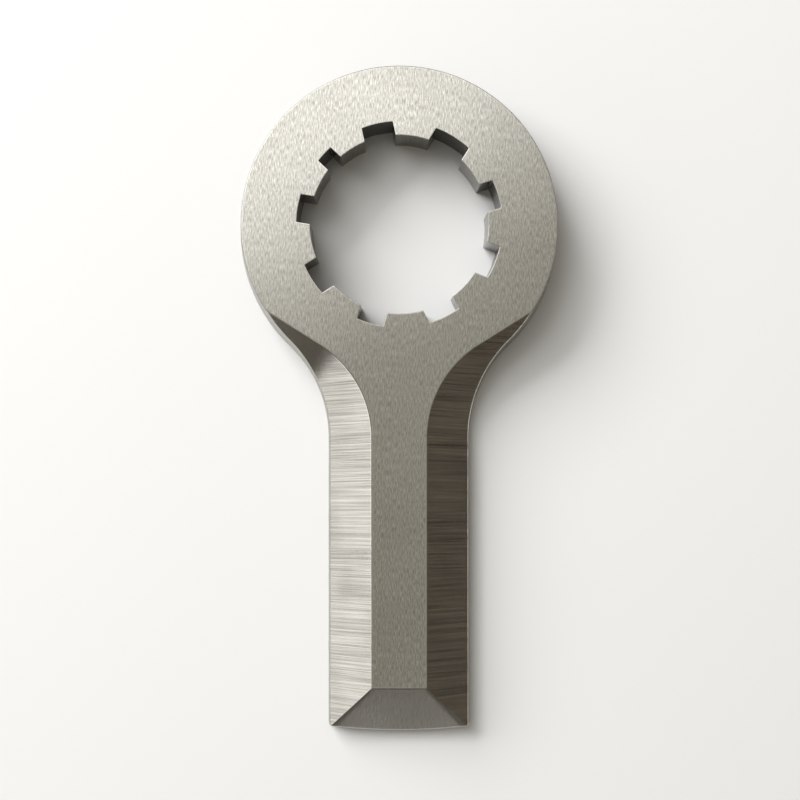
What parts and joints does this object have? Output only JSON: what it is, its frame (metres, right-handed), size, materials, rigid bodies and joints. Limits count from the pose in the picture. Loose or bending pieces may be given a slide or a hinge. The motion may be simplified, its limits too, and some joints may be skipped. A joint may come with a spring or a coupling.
{
  "type": "ring tooth crusher blade",
  "caption": "Flat steel crusher blade: a round eye with a splined bore, a waist and a straight shank with bevelled long edges and a bevelled, curved outer end.",
  "frame": {"origin": "centre of the splined bore on the flat back face", "axes": "+Z through the thickness, from the back face to the bevelled front; +Y from the tip towards the eye; +X across the shank"},
  "size_m": [0.2308, 0.4778, 0.036],
  "materials": {
    "ground_steel": "satin ground steel: short grain along the flat faces, coarser grinding lines across the bevels, darker machined bore walls"
  },
  "bodies": {
    "root": {"ring_tooth_blade": "ground_steel"}
  },
  "joints": []
}
